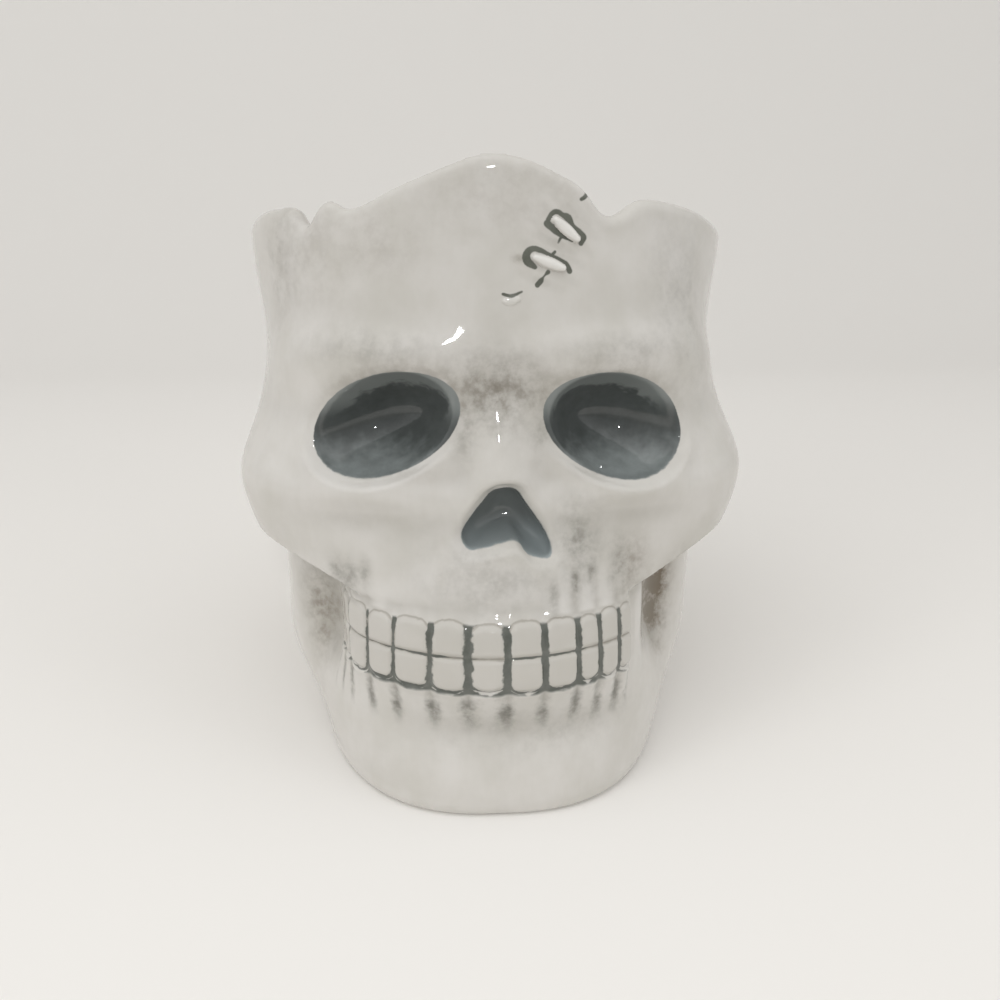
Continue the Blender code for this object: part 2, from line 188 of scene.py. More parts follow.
# Brush strokes round the scar: points across and up in millimetres, each with half the
# width of the stroke there.
INK_STROKES = (
    ((18.9, 138.2, 0.3), (18.3, 136.6, 0.4), (17.3, 135.9, 0.35)),
    ((10.1, 131.2, 0.75), (11.9, 129.6, 0.65), (13.5, 128.6, 0.5), (15.3, 127.7, 0.35)),
    ((13.0, 128.4, 0.3), (12.4, 127.3, 0.25)),
    ((10.3, 132.0, 0.5), (11.2, 133.2, 0.5), (12.2, 133.5, 0.5), (13.4, 132.8, 0.45), (14.5, 132.2, 0.7),
     (15.5, 130.7, 0.4), (16.9, 129.5, 0.5), (17.8, 128.4, 0.6), (17.2, 127.1, 0.5)),
    ((7.5, 122.5, 0.45), (6.0, 123.6, 0.85), (5.8, 125.1, 0.8), (7.1, 126.2, 0.6), (9.0, 125.7, 0.5),
     (10.5, 124.9, 0.45), (12.9, 123.9, 0.35), (14.2, 122.9, 0.4), (14.8, 121.6, 0.5)),
    ((11.1, 124.9, 0.35), (11.7, 125.5, 0.3)),
    ((10.3, 121.5, 0.45), (9.4, 120.6, 0.2), (8.8, 119.8, 0.5), (8.0, 118.9, 0.5)),
    ((0.8, 117.2, 0.2), (2.6, 116.8, 0.3), (4.8, 117.6, 0.22)),
)

# Half widths in millimetres of the painted lines where the rows meet and under the lower
# teeth, by the place along the teeth: the brush left them broken.
BITE_LINE = (
    (-7, 0.3), (-6, 0.3), (-5, 0.1), (-4, 0.16), (-3.4, 0.12), (-3, 0.3), (-2.6, 0.2), (-2.1, 0.4),
    (-1.7, 0.36), (-1.4, 0.08),
    (-0.9, 0.2), (-0.7, 0.05), (-0.1, 0.06), (0.1, 0.3), (0.5, 0.38), (0.9, 0.22), (1.1, 0.36), (1.9, 0.2),
    (2.1, 0.28), (2.4, 0.1), (3, 0.06), (5, 0.05),
)
FOOT_LINE = (
    (-7, 0.3), (-6, 0.2), (-5, 0.05), (-4.3, 0.2), (-3.9, 0.5), (-3.3, 0.55), (-2.9, 0.35), (-2.5, 0.5),
    (-2, 0.45), (-1.5, 0.5),
    (-1.1, 0.12), (-0.9, 0.45), (-0.6, 0.06), (-0.2, 0.1), (0, 0.4), (0.3, 0.35), (0.6, 0.02), (0.9, 0.4),
    (1.2, 0.5), (1.5, 0.3), (1.8, 0.5), (2.1, 0.5), (2.4, 0.05), (2.8, 0.4), (3.1, 0.5), (3.4, 0.05),
    (5, 0.1),
)

# Thin colour that the brush left in the hollows, and in part painted shade: darker above the
# sockets, beside the nose, under the cheek arches and in the hollows of the jaw and the sides.
# Angle from the front in degrees, height, half size in degrees, half size in height, and strength.
GREY_WASHES_AND_SHADE = (
    (-1, 97 * MM, 11, 8 * MM, 0.75),
    (-8, 91 * MM, 3, 8 * MM, 0.6),
    (9, 91 * MM, 3, 8 * MM, 0.6),
    (-27, 106 * MM, 14, 4 * MM, 0.35),
    (28, 105 * MM, 14, 4 * MM, 0.35),
    (-15, 64 * MM, 6, 8 * MM, 0.12),
    (17, 64 * MM, 5, 9 * MM, 0.7),
    (-33, 55 * MM, 3, 4 * MM, 0.7),
    (26, 57 * MM, 2.5, 6 * MM, 0.9),
    (-55, 120 * MM, 5, 15 * MM, 0.28),
    (45, 112 * MM, 9, 20 * MM, 0.3),
    (-5, 62 * MM, 7, 3 * MM, 0.3),
    (-56, 42 * MM, 8, 15 * MM, 0.2),
    (8, 22 * MM, 22, 6 * MM, 0.3),
    (-2, 56 * MM, 14, 7 * MM, 0.35),
    (10.5, 53 * MM, 1.3, 4 * MM, 0.7),
    (15.5, 56 * MM, 1.4, 6 * MM, 0.8),
    (19.5, 58 * MM, 1.4, 5 * MM, 0.8),
    (-36, 56 * MM, 2, 4 * MM, 0.7),
    (-29.5, 56 * MM, 1.6, 4 * MM, 0.6),
    (-70, 98 * MM, 14, 12 * MM, 0.25),
    (70, 98 * MM, 14, 12 * MM, 0.25),
    (-112, 66 * MM, 4, 4 * MM, 1.0),
    (112, 66 * MM, 4, 4 * MM, 1.0),
    (-95, 58 * MM, 16, 4 * MM, 0.6),
    (95, 58 * MM, 16, 4 * MM, 0.6),
    (-120, 40 * MM, 6, 16 * MM, 0.5),
    (120, 40 * MM, 6, 16 * MM, 0.5),
    (180, 48 * MM, 40, 9 * MM, 0.4),
)
# Brown colour in the same way: brushed colour, and in part painted shade in the hollows of the jaw and over
# the crown.
BROWN_WASHES_AND_SHADE = (
    (52, 41 * MM, 5, 12 * MM, 1.8),
    (44, 50 * MM, 5, 6 * MM, 0.9),
    (0, 98 * MM, 13, 6 * MM, 0.35),
    (4.8, 124.3 * MM, 1.4, 0.8 * MM, 0.8),
    (-54, 38 * MM, 6, 11 * MM, 0.7),
    (3, 137 * MM, 24, 9 * MM, 0.18),
    (-45, 126 * MM, 15, 14 * MM, 0.2),
    (150, 118 * MM, 30, 10 * MM, 0.25),
    (-140, 112 * MM, 30, 14 * MM, 0.3),
    (30, 57 * MM, 4, 7 * MM, 0.5),
    (-28, 128 * MM, 12, 8 * MM, 0.2),
)

# Swellings and hollows of the bone, alike on both sides: angle from the front in
# degrees, height, half size in degrees, half size in height, and rise of the surface.
BONE_FORMS = {
    "cheek arch": (88, CHEEK_HEIGHT - 3 * MM, 17, 7 * MM, 2.5 * MM),
    "muzzle": (0, BITE_HEIGHT - 1 * MM, 24, 15 * MM, 3.2 * MM),
    "upper jaw": (0, BITE_HEIGHT + 18 * MM, 22, 9 * MM, 1.5 * MM),
    "brow ridge": (26, BROW_HEIGHT - 1 * MM, 20, 6 * MM, 2.5 * MM),
    "brow corner": (50, BROW_HEIGHT - 6 * MM, 12, 8 * MM, 2.5 * MM),
    "nose bridge": (0, SOCKET_HEIGHT - 5 * MM, 8, 11 * MM, 2.8 * MM),
    "socket lip": (28, SOCKET_HEIGHT - SOCKET_SHORT - 4 * MM, 17, 4 * MM, 2.2 * MM),
    "temple": (66, BROW_HEIGHT + 3 * MM, 14, 13 * MM, -2.0 * MM),
    "chin": (14, 9 * MM, 20, 9 * MM, 1.0 * MM),
    "chin groove": (0, 23 * MM, 26, 6 * MM, -1.5 * MM),
    "ear bone": (106, CHEEK_HEIGHT - 17 * MM, 9, 11 * MM, 2.5 * MM),
    "jaw corner": (82, JAW_HEIGHT - 14 * MM, 18, 13 * MM, 3.0 * MM),
    "neck hollow": (122, JAW_HEIGHT - 4 * MM, 17, 20 * MM, -3.5 * MM),
    "back of the head": (180, BROW_HEIGHT - 14 * MM, 48, 24 * MM, 2.0 * MM),
}
CHEEKBONE = (56, CHEEK_HEIGHT - 2 * MM, 19, 15 * MM, 11.0 * MM)
JAW_HOLLOW = (48, BITE_HEIGHT - 3 * MM, 11, 13 * MM, -8.0 * MM)

# Slow waves that the mould and the thick glaze leave in the skin: lengths and height.
WAVES = ((31 * MM, 47 * MM), (23 * MM, -37 * MM), (19 * MM, 29 * MM))
WAVE_RISE = 0.10 * MM

# Forms of the skin alone, alike on both sides and in the same order of values: the ridge
# of the nose, and behind the cheeks the arch, the ear with its hole and the jaw's seam.
SKIN_FORMS = (
    (1, 74.5 * MM, 5.5, 11.5 * MM, 2.5 * MM),
    (92, 73 * MM, 15, 4 * MM, 2.2 * MM),
    (94, 60 * MM, 14, 5 * MM, -2.2 * MM),
    (112, 66 * MM, 4, 4 * MM, -3.0 * MM),
    (113, 74 * MM, 6, 3 * MM, 1.0 * MM),
    (119, 56 * MM, 6, 9 * MM, 2.0 * MM),
    (104, 42 * MM, 7, 13 * MM, 2.0 * MM),
    (90, 102 * MM, 17, 13 * MM, -1.8 * MM),
    (180, 66 * MM, 22, 7 * MM, 1.6 * MM),
    (150, 48 * MM, 16, 9 * MM, -1.2 * MM),
)

# Where the skin is looked at round each point to find how hollow it is.
CAVITY_REACH = 4.5 * MM
CAVITY_STEPS = [
    (CAVITY_REACH * math.cos(turn), CAVITY_REACH * math.sin(turn))
    for turn in np.linspace(0, 2 * math.pi, 8, endpoint=False)
]

# How the outer skin is set onto its form again after the openings are cut.
SKIN_SHARE = 0.7  # how deep in the wall the points still count as outside
RIM_KEPT = 0.6 * MM  # the band round an opening that stays as it was cut
RIM_BLEND = 2.2 * MM
BRIM_BLEND = 3.0 * MM  # below the rounded brim of the vessel
FOOT_BLEND = 1.5 * MM
FAR_OFF = 1.0  # stands for a place on the back of the head

# Marks on the mesh.
FAR = 9.0  # millimetres, stands for a place away from any paint
POCKET_SKIN = 1.2 * MM  # how far behind a pocket's surface the paint reaches
STITCH_BARE = 0.45 * MM  # where a stitch is higher than this it carries no ink
INK_CLEAR = 2.0  # millimetres

# Mesh density.
TEETH_MARGINS = (2.0 * MM, 3.0 * MM)  # above and below the rows
SCAR_MARGIN = 3.0 * MM
COLUMNS = 360
ROWS = 160
VOXEL = 0.8 * MM
KEPT_TRIANGLES = 185_000
FACE_ANGLE = 80.0  # degrees from the front inside which the skin stays fine

STREAK_STRETCH = 0.3  # heights are taken at this share, which draws the wiped colour out

# The camera and the room.
SENSOR = 36
LENS = 37.98
CAMERA_PLACE = (-0.01420, -0.27244, 0.144)
CAMERA_DIP = 17.97
CAMERA_TURN = -3.75
AIM = (0, 0, 0.07)
SWEEP_WIDE = 3.0
SWEEP_BACK = 0.45
SWEEP_BEND = 0.3
DAYLIGHT = 0.75
GROUND_LIGHT = 0.55  # shares of the daylight that come from below and from above
SKY_LIGHT = 1.45
DIM_SIDE = 0.5  # the share that comes from the side of the camera
# Painted shade: the paper is painted darker on its near side, as at a table's edge.
TABLE_EDGE = -0.42  # the paper is darker on the near side of this line
TABLE_SOFT = 0.16

# Lamps: name, place, size, power and whether the glaze mirrors them.
LAMPS = (
    ("window", (-0.35, -0.78, 0.95), 1.1, 3.7, False),
    ("left_pane", (-0.68, -0.56, 0.43), 0.3, 0.4, False),
    ("right_pane", (0.62, -0.52, 0.40), 0.3, 0.3, False),
    ("lamp", (0.03, -0.75, 0.40), 0.024, 0.4, True),
)


def along(places, stations):
    """A smooth curve through stations of place and value, read at the given places."""
    known = np.array(sorted(stations), dtype=float)
    slopes = np.gradient(known[:, 1], known[:, 0])
    left = np.clip(np.searchsorted(known[:, 0], places) - 1, 0, len(known) - 2)
    span = known[left + 1, 0] - known[left, 0]
    t = (places - known[left, 0]) / span
    rise = (2 * t**3 - 3 * t**2 + 1) * known[left, 1] + (3 * t**2 - 2 * t**3) * known[left + 1, 1]
    lean = (t**3 - 2 * t**2 + t) * slopes[left] + (t**3 - t**2) * slopes[left + 1]
    return rise + span * lean


def fade(distance):
    """Falls smoothly from 1 at no distance to near nothing at twice the half size."""
    return np.exp(-(distance**2))


def ease(share):
    """Rises smoothly from 0 to 1."""
    share = np.clip(share, 0, 1)
    return share * share * (3 - 2 * share)


def rim_height(angles):
    """Height of the rim at each angle from the front."""
    stations = [(turn + step, drop) for turn in (-360, 0, 360) for step, drop in RIM_DROPS]
    return HEIGHT - along(np.degrees(angles), stations)


def body_radius(angles, heights):
    """Distance from the axis to the plain body's surface."""
    levels, sides, fronts, backs, squares = zip(*BODY_LEVELS)
    side = along(heights, zip(levels, sides))
    facing = np.cos(angles) > 0
    reach = np.where(facing, along(heights, zip(levels, fronts)), along(heights, zip(levels, backs)))
    square = np.where(facing, along(heights, zip(levels, squares)), BACK_SQUARE)
    across = (np.abs(np.sin(angles)) / side) ** square
    ahead = (np.abs(np.cos(angles)) / reach) ** square
    return (across + ahead) ** (-1 / square)


def cheek_rise(angles, heights):
    """The cheekbones down to their lower edge, and the hollows of the jaw below it."""
    turned = np.degrees(np.abs(angles))
    near, far = CHEEK_EDGE_ANGLES
    edge = CHEEK_EDGE_HEIGHT - CHEEK_EDGE_DROP * (1 - ease((turned - near) / (far - near)))
    above = ease((heights - edge) / CHEEK_EDGE_SOFT + 0.5)
    angle, height, wide, tall, rise = CHEEKBONE
    stretch = np.where(heights < height, CHEEK_STRETCH, 1.0) * tall
    bone = rise * fade(np.hypot((turned - angle) / wide, (heights - height) / stretch)) * above
    angle, height, wide, tall, rise = JAW_HOLLOW
    below = np.where(heights < height, (heights - height) / tall, 0)
    return bone + rise * fade(np.hypot((turned - angle) / wide, below)) * (1 - above)


def bone_radius(angles, heights):
    """The body's surface with the swellings and hollows of the bone."""
    radius = body_radius(angles, heights)
    for angle, height, wide, tall, rise in BONE_FORMS.values():
        apart = (np.degrees(np.abs(angles)) - angle) / wide
        radius = radius + rise * fade(np.hypot(apart, (heights - height) / tall))
    return radius + cheek_rise(angles, heights)


def tooth_place(angles):
    """Counts teeth round the muzzle from its middle: whole numbers are the grooves."""
    steps = np.radians(np.arange(-90, 91))
    reach = bone_radius(steps, np.full(len(steps), BITE_HEIGHT))
    points = np.stack((reach * np.sin(steps), -reach * np.cos(steps)), axis=1)
    walked = np.concatenate(([0], np.cumsum(np.linalg.norm(np.diff(points, axis=0), axis=1))))
    walked -= walked[len(steps) // 2]
    left = MIDDLE_GROOVE - np.cumsum(LEFT_TEETH)[::-1]
    edges = np.concatenate((left, [MIDDLE_GROOVE], MIDDLE_GROOVE + np.cumsum(RIGHT_TEETH)))
    counts = np.arange(len(edges)) - len(LEFT_TEETH)
    return np.interp(np.interp(angles, steps, walked), edges, counts)


def tooth_gap(angles, heights):
    """Distance out of the nearest tooth's outline, negative inside it."""
    place = tooth_place(angles)
    widths = np.array(LEFT_TEETH + RIGHT_TEETH)
    index = np.clip(np.floor(place).astype(int) + len(LEFT_TEETH), 0, len(widths) - 1)
    half_wide = widths[index] / 2
    across = np.abs(2 * (place - np.floor(place)) - 1) * half_wide
    above = heights - BITE_HEIGHT
    tall = np.where(above > 0, UPPER_TOOTH, LOWER_TOOTH)
    half_tall = (tall - UNEVEN_TEETH * (1 + np.sin(UNEVEN_STEP * index))) / 2
    upright = np.abs(above) - half_tall
    corner = np.minimum(np.where(upright > 0, GUM_CORNER, BITE_CORNER), half_wide)
    beside = across - half_wide + corner
    beyond = np.abs(upright) - half_tall + corner
    outside = np.hypot(np.maximum(beside, 0), np.maximum(beyond, 0))
    return outside + np.minimum(np.maximum(beside, beyond), 0) - corner


def teeth_ends(angles):
    """1 along the rows of teeth, and 0 past their ends."""
    place = tooth_place(angles)
    inside = np.minimum(place + len(LEFT_TEETH), len(RIGHT_TEETH) - place)
    return ease(inside / END_TEETH)


def teeth_rise(angles, heights):
    """Both rows of teeth, and the roots that run from them into the jaws."""
    place = tooth_place(angles)
    across = np.abs(2 * (place - np.floor(place)) - 1)
    above = heights - BITE_HEIGHT
    beyond = np.where(above > 0, above - UPPER_TOOTH, -above - LOWER_TOOTH)
    face = ease(-tooth_gap(angles, heights) / TOOTH_EDGE)
    tooth = TOOTH_RISE * (BED_SHARE * ease(0.5 - beyond / BED_SOFT) + (1 - BED_SHARE) * face)
    beside = ease(np.maximum(place - FRONT_TEETH[1], FRONT_TEETH[0] - place))
    upper = UPPER_ROOT + (SIDE_ROOT - UPPER_ROOT) * beside
    root = np.where(above > 0, upper, LOWER_ROOT) * (1 - across**2)
    root = root * ease(beyond / TOOTH_EDGE + 0.5) * np.clip(1 - beyond / ROOT_TALL, 0, 1) ** 2
    return teeth_ends(angles) * (tooth + root)


def stitch_rise(angles, heights):
    """The raised stitches, beads that lie across the scar and taper to their ends."""
    across = body_radius(angles, heights) * np.sin(angles)
    rise = np.zeros(np.shape(across))
    for side, height, slope, long, wide, high in STITCHES:
        turn = math.radians(slope)
        forward = (across - side) * math.cos(turn) - (heights - height) * math.sin(turn)
        beside = (across - side) * math.sin(turn) + (heights - height) * math.cos(turn)
        straight = (long - wide) / 2
        width = wide * (1 - STITCH_TAPER * np.clip(np.abs(forward) / straight, 0, 1) ** 2)
        apart = np.hypot(forward - np.clip(forward, -straight, straight), beside)
        rise = np.maximum(rise, high * np.sqrt(np.clip(1 - (2 * apart / width) ** 2, 0, 1)))
    return np.where(np.cos(angles) > 0, rise, 0)


def skin_forms(angles, heights):
    """Low forms of the outer skin and the slow unevenness of a cast and thickly glazed wall."""
    turned = np.degrees(np.abs(angles))
    forms = 0
    for angle, height, wide, tall, rise in SKIN_FORMS:
        forms = forms + rise * fade(np.hypot((turned - angle) / wide, (heights - height) / tall))
    along_skin = BODY_LEVELS[2][1] * angles
    waves = [np.sin(along_skin / wide + heights / tall) for wide, tall in WAVES]
    return forms + WAVE_RISE * sum(waves)


def outer_radius(angles, heights):
    return bone_radius(angles, heights) + teeth_rise(angles, heights) + stitch_rise(angles, heights)


def pocket_room(angles, heights, pockets):
    """How far the inner wall stands back, to stay clear of the sockets and the nose."""
    radius = bone_radius(angles, heights)
    points = np.stack((radius * np.sin(angles), -radius * np.cos(angles), heights), axis=-1)
    rooms = [p.depth * fade((p.share(points) / POCKET_SPREAD) ** 2) for p in pockets]
    return np.where(np.cos(angles) > 0, np.max(rooms, axis=0), 0)


def inner_radius(angles, heights, pockets):
    """The inner wall, a full wall away from the bone outside it in every direction."""
    near = bone_radius(angles, heights)
    inner = near - WALL
    for share in (0.6, 0.9, 1.0):
        inward = WALL * math.sqrt(1 - share * share)
        for turn in np.arange(0, 2 * math.pi, math.pi / 4):
            beside = WALL * share * math.cos(turn) / near
            above = WALL * share * math.sin(turn)
            inner = np.minimum(inner, bone_radius(angles + beside, heights + above) - inward)
    return inner - pocket_room(angles, heights, pockets)


def socket_outline(long, short, egg):
    """An egg: an ellipse that is fuller towards one end."""
    turn = np.radians(np.arange(0, 360, 3))
    return long * np.cos(turn), short * np.sin(turn) * (1 + egg * np.cos(turn))


def nose_outline():
    """A smooth line through the points of the nose's outline."""
    count = len(NOSE_OUTLINE)
    steps = np.linspace(0, count, 12 * count, endpoint=False)
    laps = range(-count, 2 * count)
    across = along(steps, zip(laps, [x * NOSE_HALF_WIDTH for x, z in NOSE_OUTLINE] * 3))
    upright = along(steps, zip(laps, [z * NOSE_TALL / 2 for x, z in NOSE_OUTLINE] * 3))
    return across, upright


class Pocket:
    """An opening in the face: its outline, its place on the skin and how deep it goes."""

    def __init__(self, name, outline, middle, tilt, turn, depth, bowl):
        self.name = name
        self.middle = middle
        self.spin = Euler((0, math.radians(tilt), math.radians(turn)), "XYZ")
        self.depth = depth
        self.bowl = bowl
        around = np.arctan2(outline[1], outline[0])
        order = np.argsort(around)
        self.turns = around[order]
        self.reaches = np.hypot(*outline)[order]

    def reach(self, turned):
        return np.interp(turned, self.turns, self.reaches, period=2 * math.pi)

    def sink(self, share):
        """Depth of the bowl at each share of the way from its middle to its rim."""
        return self.depth * (1 - np.clip(share, 0, 1) ** 2) ** self.bowl

    def seen(self, points):
        """Turn about the bowl's axis, distance from it and depth along it."""
        local = (points - np.array(self.middle)) @ np.array(self.spin.to_matrix())
        return np.arctan2(local[:, 2], local[:, 0]), np.hypot(local[:, 0], local[:, 2]), local[:, 1]

    def share(self, points):
        around, away, deep = self.seen(points)
        return away / self.reach(around)

    def gap(self, points):
        """Distance out of the outline, and depth past the bowl."""
        around, away, deep = self.seen(points)
        reach = self.reach(around)
        across = self.reach(around + TURN_STEP) - self.reach(around - TURN_STEP)
        slope = across / (2 * TURN_STEP * reach)
        past = deep - self.sink(np.minimum(away / reach, RIM_SHARE))
        return (away - reach) / np.hypot(1, np.clip(slope, -STEEPEST, STEEPEST)), past


def face_pockets():
    pockets = []
    for name, (side, height, long, short, egg, tilt) in SOCKETS.items():
        outline = socket_outline(long, short, egg)
        turn = math.copysign(SOCKET_TURN, side)
        middle = surface_point(side, height)
        pockets.append(Pocket(name, outline, middle, tilt, turn, SOCKET_DEPTH, SOCKET_BOWL))
    middle = surface_point(NOSE_SIDE, NOSE_HEIGHT)
    pockets.append(Pocket("nose", nose_outline(), middle, 0, 0, NOSE_DEPTH, NOSE_BOWL))
    return pockets


def surface_point(across, height):
    """The point of the face at this distance from its middle line."""
    steps = np.radians(np.arange(-80, 81))
    reach = bone_radius(steps, np.full(len(steps), height))
    angle = np.interp(across, reach * np.sin(steps), steps)
    radius = bone_radius(np.array([angle]), np.array([height]))[0]
    return Vector((radius * math.sin(angle), -radius * math.cos(angle), height))


def deselect_all():
    if bpy.context.object and bpy.context.object.mode != "OBJECT":
        bpy.ops.object.mode_set(mode="OBJECT")
    bpy.ops.object.select_all(action="DESELECT")


def begin(name):
    """Names the primitive that was just added and sets its place into its mesh."""
    made = bpy.context.object
    made.name = name
    made.data.name = name
    bpy.ops.object.transform_apply(location=True, rotation=True, scale=True)
    return made


def pick(kind, test):
    """Selects the vertices, edges or faces of the mesh in edit mode that pass a test."""
    mesh = bmesh.from_edit_mesh(bpy.context.object.data)
    bpy.ops.mesh.select_all(action="DESELECT")
    bpy.context.tool_settings.mesh_select_mode = (kind == "verts", kind == "edges", kind == "faces")
    for item in getattr(mesh, kind):
        item.select_set(bool(test(item)))
    bmesh.update_edit_mesh(bpy.context.object.data)


def points_of(piece):
    flat = np.zeros(len(piece.data.vertices) * 3, np.float32)
    piece.data.vertices.foreach_get("co", flat)
    return flat.reshape(-1, 3).astype(float)


def set_points(piece, points):
    piece.data.vertices.foreach_set("co", points.astype(np.float32).ravel())
    piece.data.update()


def apply(piece, name, kind, **settings):
    """Adds a modifier with these settings and applies it."""
    bpy.context.view_layer.objects.active = piece
    modifier = piece.modifiers.new(name, kind)
    for key, value in settings.items():
        setattr(modifier, key, value)
    bpy.ops.object.modifier_apply(modifier=name)


def wall_path(points, pockets):
    """Moves the rows of the pressed-in cylinder onto the vessel's section, outside and inside."""
    angles = np.arctan2(points[:, 0], -points[:, 1])
    lip = rim_height(angles) - WALL / 2
    lip_arc = WALL / 2 * math.pi / 2
    foot_arc = FOOT_ROUND * math.pi / 2
    floor_arc = FLOOR_ROUND * math.pi / 2
    # Outside: round the foot, up the wall, and a quarter turn over the lip.
    walked = np.clip(points[:, 2] / HEIGHT, 0, 1) * (foot_arc + HEIGHT + lip_arc)
    turn = np.clip(walked / foot_arc, 0, 1) * math.pi / 2
    share = np.clip((walked - foot_arc) / HEIGHT, 0, 1)
    over = np.clip((walked - foot_arc - HEIGHT) / lip_arc, 0, 1) * math.pi / 2
    height = FOOT_ROUND * (1 - np.cos(turn)) + share * (lip - FOOT_ROUND)
    reach = outer_radius(angles, np.maximum(height, FOOT_ROUND)) - FOOT_ROUND * (1 - np.sin(turn))
    reach -= WALL / 2 * (1 - np.cos(over))
    outside = np.stack((reach, height + WALL / 2 * np.sin(over)), axis=1)
    # Inside: the other quarter turn of the lip, down the wall, and round to the floor.
    depth = np.clip((HEIGHT - points[:, 2]) / (HEIGHT - FLOOR), 0, 1)
    walked = depth * (lip_arc + HEIGHT + floor_arc)
    over = (1 - np.clip(walked / lip_arc, 0, 1)) * math.pi / 2
    share = np.clip((walked - lip_arc) / HEIGHT, 0, 1)
    turn = np.clip((walked - lip_arc - HEIGHT) / floor_arc, 0, 1) * math.pi / 2
    bottom = FLOOR + FLOOR_ROUND
    height = lip + share * (bottom - lip)
    near_lip = outer_radius(angles, lip) - WALL
    reach = np.where(share > 0, inner_radius(angles, height, pockets), near_lip)
    reach += WALL / 2 * (1 - np.cos(over)) - FLOOR_ROUND * (1 - np.cos(turn))
    inside = np.stack((reach, height + WALL / 2 * np.sin(over) - FLOOR_ROUND * np.sin(turn)), axis=1)
    is_inside = np.hypot(points[:, 0], points[:, 1]) < BODY_LEVELS[2][1] - WALL / 2
    reach, height = np.where(is_inside[:, None], inside, outside).T
    return np.stack((reach * np.sin(angles), -reach * np.cos(angles), height), axis=1)


def make_vessel(pockets):
    """A cylinder, its top pressed in down to the floor, cut into rows and set on the form."""
    deselect_all()
    middle = (0, 0, HEIGHT / 2)
    bpy.ops.mesh.primitive_cylinder_add(
        vertices=COLUMNS, radius=BODY_LEVELS[2][1], depth=HEIGHT, location=middle
    )
    vessel = begin("glazed_skull")
    bpy.ops.object.mode_set(mode="EDIT")
    pick("faces", lambda face: face.normal.z > 0.9)
    bpy.ops.mesh.inset(thickness=WALL)
    bpy.ops.mesh.extrude_region_move(TRANSFORM_OT_translate={"value": (0, 0, FLOOR - HEIGHT)})
    pick("edges", lambda edge: abs(edge.verts[0].co.z - edge.verts[1].co.z) > WALL)
    bpy.ops.mesh.subdivide(number_cuts=ROWS)
    bpy.ops.object.mode_set(mode="OBJECT")
    set_points(vessel, wall_path(points_of(vessel), pockets))
    return vessel


def make_bowl(pocket):
    """Half a ball that opens towards -Y, with a collar, drawn out to the pocket's shape."""
    deselect_all()
    bpy.ops.mesh.primitive_uv_sphere_add(segments=96, ring_count=64, radius=1)
    bowl = begin(pocket.name)
    bpy.ops.object.mode_set(mode="EDIT")
    pick("faces", lambda face: face.calc_center_median().y < 0)
    bpy.ops.mesh.delete(type="FACE")
    pick("edges", lambda edge: edge.is_boundary)
    bpy.ops.mesh.extrude_region_move(TRANSFORM_OT_translate={"value": (0, -1, 0)})
    bpy.ops.mesh.edge_face_add()
    bpy.ops.mesh.select_all(action="SELECT")
    bpy.ops.mesh.normals_make_consistent(inside=False)
    bpy.ops.object.mode_set(mode="OBJECT")
    points = points_of(bowl)
    around = np.arctan2(points[:, 2], points[:, 0])
    share = np.hypot(points[:, 0], points[:, 2])
    away = share * pocket.reach(around)
    deep = np.where(points[:, 1] > 0, pocket.sink(share), points[:, 1] * pocket.depth)
    set_points(bowl, np.stack((away * np.cos(around), deep, away * np.sin(around)), axis=1))
    bowl.rotation_euler = pocket.spin
    bowl.location = pocket.middle
    deselect_all()
    bowl.select_set(True)
    bpy.context.view_layer.objects.active = bowl
    bpy.ops.object.transform_apply(location=True, rotation=True, scale=True)
    return bowl


def cut_face(vessel, pockets):
    for pocket in pockets:
        bowl = make_bowl(pocket)
        apply(vessel, pocket.name, "BOOLEAN", operation="DIFFERENCE", object=bowl, solver="EXACT")
        bpy.data.objects.remove(bowl)


def polar(points):
    """Angle from the front, distance from the axis and height of each point."""
    return np.arctan2(points[:, 0], -points[:, 1]), np.hypot(points[:, 0], points[:, 1]), points[:, 2]


def is_outside(points):
    """Whether each point is on the outer part of the wall."""
    angles, reach, heights = polar(points)
    return reach > bone_radius(angles, heights) - SKIN_SHARE * WALL


def set_skin(piece, pockets):
    """Sets the outer skin onto the exact form again, and leaves the rims of the openings soft."""
    points = points_of(piece)
    angles, reach, heights = polar(points)
    gaps = [np.where(np.cos(angles) < 0, FAR_OFF, pocket.gap(points)[0]) for pocket in pockets]
    skin = outer_radius(angles, heights) + skin_forms(angles, heights)
    lower = LIP_ABOVE + (1 - LIP_ABOVE) * ease((SOCKET_HEIGHT - heights) / SOCKET_SHORT)
    lips = [rise * fade(np.maximum(gap, 0) / LIP_REACH) for gap, rise in zip(gaps, LIP_RISES)]
    skin += lower * np.max(lips, axis=0)
    gaps = np.min(gaps, axis=0)
    below_brim = rim_height(angles) - WALL / 2 - heights
    share = ease((gaps - RIM_KEPT) / RIM_BLEND) * ease(below_brim / BRIM_BLEND)
    share *= ease((heights - FOOT_ROUND) / FOOT_BLEND) * is_outside(points)
    share *= np.abs(skin - reach) < WALL
    moved = (reach + share * (skin - reach)) / reach
    points[:, :2] *= moved[:, None]
    set_points(piece, points)


def refine(piece, test):
    """Cuts the skin's faces that pass a test into smaller ones."""
    deselect_all()
    bpy.context.view_layer.objects.active = piece
    bpy.ops.object.mode_set(mode="EDIT")
    mesh = bmesh.from_edit_mesh(piece.data)
    mesh.faces.ensure_lookup_table()
    middles = np.array([face.calc_center_median() for face in mesh.faces])
    wanted = test(middles)
    bpy.context.tool_settings.mesh_select_mode = (False, False, True)
    bpy.ops.mesh.select_all(action="DESELECT")
    for index in np.flatnonzero(wanted):
        mesh.faces[index].select_set(True)
    bmesh.update_edit_mesh(piece.data)
    bpy.ops.mesh.subdivide(number_cuts=1)
    bpy.ops.object.mode_set(mode="OBJECT")


